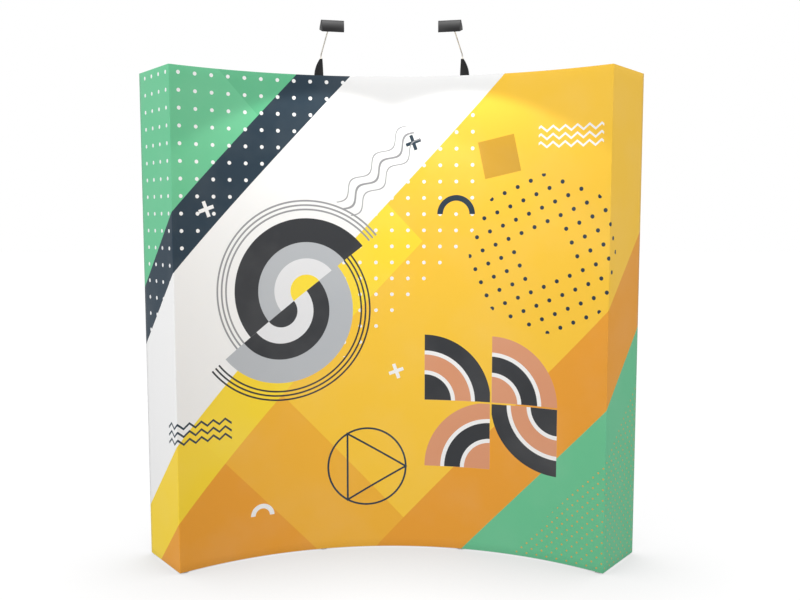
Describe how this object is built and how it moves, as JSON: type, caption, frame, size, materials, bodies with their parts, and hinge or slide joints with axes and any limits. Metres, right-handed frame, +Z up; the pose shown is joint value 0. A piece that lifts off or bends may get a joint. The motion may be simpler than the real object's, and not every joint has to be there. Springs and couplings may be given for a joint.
{
  "type": "pop-up display wall",
  "caption": "Curved pop-up display wall: a folding tube lattice with hubs, a fabric skin that wraps both ends, and arm lamps on top.",
  "frame": {"origin": "on the floor under the middle of the object's box", "axes": "+X across the wall, +Y to the back of the stand, +Z up; the wall is hollow towards -Y, where people look at it from"},
  "size_m": [2.2758, 0.6148, 2.419],
  "materials": {
    "hub_plastic": "moulded, fine texture",
    "cap_plastic": "satin moulded",
    "tube_aluminium": "satin anodised",
    "fastener_steel": "zinc plated",
    "hook_tape": "hook tape",
    "loop_tape": "loop tape",
    "foot_rubber": "matt",
    "printed_fabric": "dye printed polyester, fine weave",
    "batten_plastic": "plain",
    "lamp_black_plastic": "moulded",
    "bush_nylon": "plain",
    "arm_steel": "satin nickel",
    "lamp_housing": "satin charcoal paint",
    "lamp_lens": "frosted",
    "led_board": "white solder mask"
  },
  "bodies": {
    "frame": {"front_hubs_column_1": "hub_plastic", "front_hubs_column_2": "hub_plastic", "front_hubs_column_3": "hub_plastic", "front_hubs_column_4": "hub_plastic", "rear_hubs_column_1": "hub_plastic", "rear_hubs_column_2": "hub_plastic", "rear_hubs_column_3": "hub_plastic", "rear_hubs_column_4": "hub_plastic", "cross_tubes_row_1": "tube_aluminium", "cross_tubes_row_2": "tube_aluminium", "cross_tubes_row_3": "tube_aluminium", "cross_tubes_row_4": "tube_aluminium", "upright_tubes_column_1": "tube_aluminium", "upright_tubes_column_2": "tube_aluminium", "upright_tubes_column_3": "tube_aluminium", "upright_tubes_column_4": "tube_aluminium", "cross_tube_tips": "hub_plastic", "upright_tube_tips": "hub_plastic", "scissor_rivets": "fastener_steel", "hub_pins": "fastener_steel", "hook_pads": "hook_tape", "rear_hub_caps": "cap_plastic", "feet": "hub_plastic", "foot_pads": "foot_rubber", "lamp_sockets": "hub_plastic", "strike_plates": "fastener_steel", "strut_pivot_pins": "fastener_steel", "left_lamp_bracket": "lamp_black_plastic", "left_cord_gland": "lamp_black_plastic", "left_arm_bush": "bush_nylon", "right_lamp_bracket": "lamp_black_plastic", "right_cord_gland": "lamp_black_plastic", "right_arm_bush": "bush_nylon"},
    "skin": {"graphic_skin": "printed_fabric", "top_hem_batten": "batten_plastic", "bottom_hem_batten": "batten_plastic", "loop_pads": "loop_tape"},
    "strut_1": {"lock_strut_1": "tube_aluminium", "strut_magnet_1": "fastener_steel"},
    "strut_2": {"lock_strut_2": "tube_aluminium", "strut_magnet_2": "fastener_steel"},
    "strut_3": {"lock_strut_3": "tube_aluminium", "strut_magnet_3": "fastener_steel"},
    "strut_4": {"lock_strut_4": "tube_aluminium", "strut_magnet_4": "fastener_steel"},
    "left_arm": {"left_lamp_arm": "arm_steel", "left_arm_knuckle": "lamp_housing"},
    "left_head": {"left_head_shell": "lamp_housing", "left_head_bezel": "lamp_black_plastic", "left_head_lens": "lamp_lens", "left_led_board": "led_board", "left_tilt_screw": "fastener_steel"},
    "right_arm": {"right_lamp_arm": "arm_steel", "right_arm_knuckle": "lamp_housing"},
    "right_head": {"right_head_shell": "lamp_housing", "right_head_bezel": "lamp_black_plastic", "right_head_lens": "lamp_lens", "right_led_board": "led_board", "right_tilt_screw": "fastener_steel"}
  },
  "joints": [
    {"name": "skin_pull_off", "type": "slide", "parent": "frame", "child": "skin", "axis": [0, -1, 0], "range_m": [0, 0.6]},
    {"name": "strut_1_swing", "type": "hinge", "parent": "frame", "child": "strut_1", "pos_m": [-0.38933, 0.2753, 0.76167], "axis": [-0.6899, -0.1551, 0.7071], "range_deg": [0, 60]},
    {"name": "strut_2_swing", "type": "hinge", "parent": "frame", "child": "strut_2", "pos_m": [0.38933, 0.2753, 0.76167], "axis": [-0.6899, 0.1551, 0.7071], "range_deg": [0, 60]},
    {"name": "strut_3_swing", "type": "hinge", "parent": "frame", "child": "strut_3", "pos_m": [-0.38933, 0.2753, 1.47333], "axis": [-0.6899, -0.1551, 0.7071], "range_deg": [0, 60]},
    {"name": "strut_4_swing", "type": "hinge", "parent": "frame", "child": "strut_4", "pos_m": [0.38933, 0.2753, 1.47333], "axis": [-0.6899, 0.1551, 0.7071], "range_deg": [0, 60]},
    {"name": "left_arm_swivel", "type": "hinge", "parent": "frame", "child": "left_arm", "pos_m": [-0.32406, 0.01498, 2.307], "axis": [0, 0, 1], "range_deg": [-90, 90]},
    {"name": "left_head_tilt", "type": "hinge", "parent": "left_arm", "child": "left_head", "pos_m": [-0.26924, -0.22894, 2.39103], "axis": [0.9757, 0.2193, 0], "range_deg": [-30, 35]},
    {"name": "right_arm_swivel", "type": "hinge", "parent": "frame", "child": "right_arm", "pos_m": [0.32406, 0.01498, 2.307], "axis": [0, 0, 1], "range_deg": [-90, 90]},
    {"name": "right_head_tilt", "type": "hinge", "parent": "right_arm", "child": "right_head", "pos_m": [0.26924, -0.22894, 2.39103], "axis": [0.9757, -0.2193, 0], "range_deg": [-30, 35]}
  ]
}
